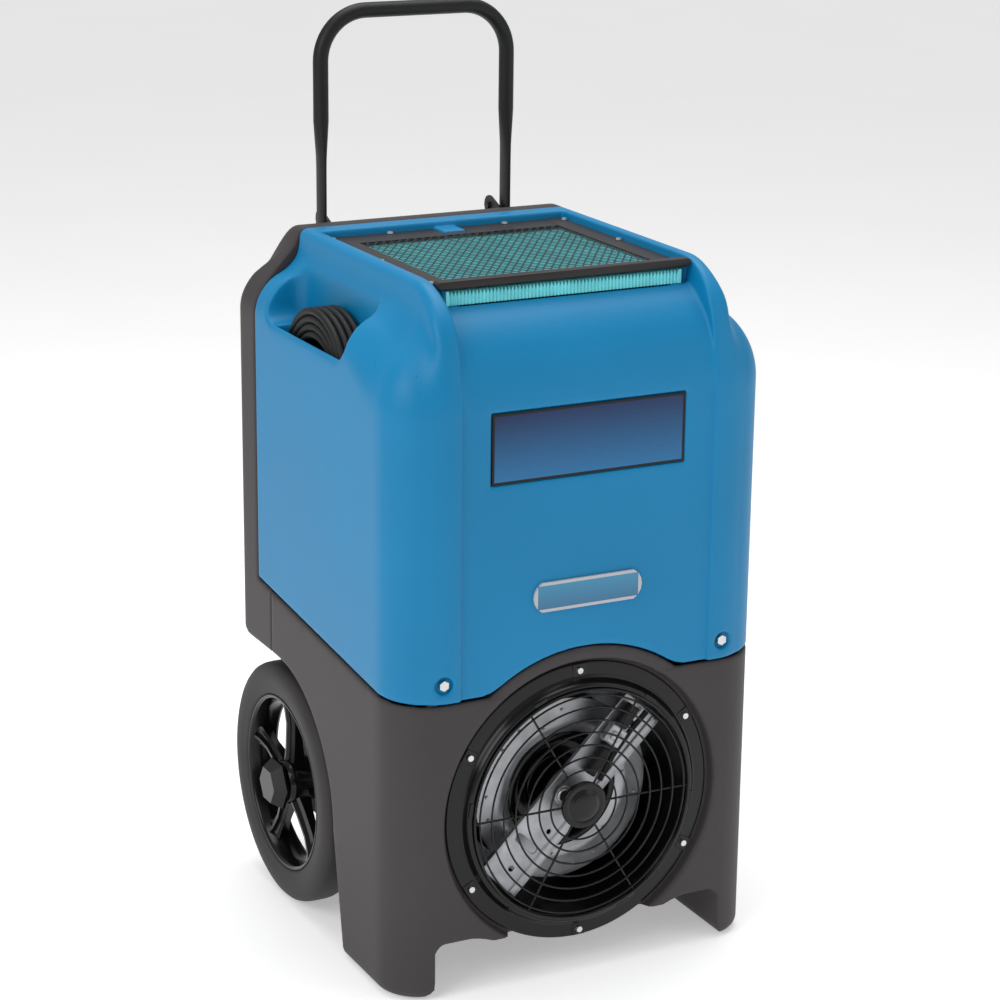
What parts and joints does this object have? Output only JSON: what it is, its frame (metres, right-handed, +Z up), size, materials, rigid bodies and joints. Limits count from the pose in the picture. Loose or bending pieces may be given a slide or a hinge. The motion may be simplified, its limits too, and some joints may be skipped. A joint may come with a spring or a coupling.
{
  "type": "portable dehumidifier",
  "caption": "Portable commercial dehumidifier on two wheels: front fan outlet with wire guard, top pleated filter, folding U handle, side cord pocket and moulded housings.",
  "frame": {"origin": "on the floor under the centre of the footprint", "axes": "+Z up; the fan outlet faces -Y and the handle is at +Y; +X is to the right seen from behind"},
  "size_m": [0.518, 0.5107, 1.1015],
  "materials": {
    "blue_plastic": "satin rotomoulded polyethylene",
    "grey_plastic": "satin rotomoulded polyethylene",
    "black_gloss": "gloss black moulding",
    "black_steel": "black textured powder coat",
    "galvanised": "galvanised sheet",
    "zinc": "bright zinc plate",
    "rubber": "black rubber",
    "tyre": "dark grey tyre rubber",
    "teal_mesh": "pleated filter cloth",
    "navy_panel": "gloss panel with a navy to blue gradient, plain",
    "badge": "blue plate with a silver border, plain",
    "copper": "copper tube",
    "aluminium_fin": "aluminium fins",
    "button_grey": "satin grey",
    "window": "dark display window"
  },
  "bodies": {
    "body": {"badge_plate": "badge", "base_housing": "grey_plastic", "collar_screw_1": "zinc", "collar_screw_2": "zinc", "collar_screw_3": "zinc", "collar_screw_4": "zinc", "collar_screw_5": "zinc", "collar_screw_6": "zinc", "compressor": "black_steel", "condensate_pump": "grey_plastic", "condenser": "aluminium_fin", "control_panel": "navy_panel", "cord_coil": "rubber", "cord_relief": "rubber", "display_window": "window", "drain_outlet": "black_gloss", "drain_pan": "grey_plastic", "evaporator": "aluminium_fin", "fan_guard": "black_steel", "fan_motor": "black_steel", "filter_frame": "black_steel", "frame_screw_1": "zinc", "frame_screw_2": "zinc", "frame_screw_3": "zinc", "frame_screw_4": "zinc", "frame_screw_5": "zinc", "frame_screw_6": "zinc", "frame_screw_7": "zinc", "frame_screw_8": "zinc", "front_bolt_left": "zinc", "front_bolt_right": "zinc", "front_housing": "blue_plastic", "handle_bracket_left": "black_steel", "handle_bracket_right": "black_steel", "handle_pivot_left": "zinc", "handle_pivot_right": "zinc", "inlet_ring": "galvanised", "label_panel": "navy_panel", "motor_bracket": "galvanised", "motor_cable": "rubber", "outlet_collar": "black_gloss", "partition": "galvanised", "power_cord": "rubber", "power_plug": "rubber", "rear_housing": "grey_plastic", "refrigerant_line": "copper", "wheel_axle": "zinc"},
    "fan": {"fan_rotor": "black_gloss", "fan_impeller": "galvanised"},
    "filter": {"filter_element": "teal_mesh"},
    "handle": {"handle_tube": "black_steel"},
    "wheel_left": {"tyre_left": "tyre", "rim_left": "black_gloss", "hub_cap_left": "black_gloss"},
    "wheel_right": {"tyre_right": "tyre", "rim_right": "black_gloss", "hub_cap_right": "black_gloss"},
    "button_a": {"button_1": "button_grey"},
    "button_b": {"button_2": "button_grey"},
    "button_c": {"button_3": "button_grey"}
  },
  "joints": [
    {"name": "wheel_left_spin", "type": "hinge", "parent": "body", "child": "wheel_left", "pos_m": [-0.219, 0.098, 0.1524], "axis": [1, 0, 0], "continuous": true},
    {"name": "wheel_right_spin", "type": "hinge", "parent": "body", "child": "wheel_right", "pos_m": [0.219, 0.098, 0.1524], "axis": [1, 0, 0], "continuous": true},
    {"name": "fan_spin", "type": "hinge", "parent": "body", "child": "fan", "pos_m": [0, -0.19, 0.2125], "axis": [0, 1, 0], "continuous": true},
    {"name": "handle_fold", "type": "hinge", "parent": "body", "child": "handle", "pos_m": [0, 0.216, 0.806], "axis": [-1, 0, 0], "range_deg": [0, 120]},
    {"name": "filter_slide", "type": "slide", "parent": "body", "child": "filter", "axis": [0, -1, 0], "range_m": [0, 0.29]},
    {"name": "button_1_press", "type": "slide", "parent": "body", "child": "button_a", "axis": [0, -1, 0], "range_m": [0, 0.0012], "stiffness_N_per_m": 600, "springref_m": -0.0008},
    {"name": "button_2_press", "type": "slide", "parent": "body", "child": "button_b", "axis": [0, -1, 0], "range_m": [0, 0.0012], "stiffness_N_per_m": 600, "springref_m": -0.0008},
    {"name": "button_3_press", "type": "slide", "parent": "body", "child": "button_c", "axis": [0, -1, 0], "range_m": [0, 0.0012], "stiffness_N_per_m": 600, "springref_m": -0.0008}
  ]
}
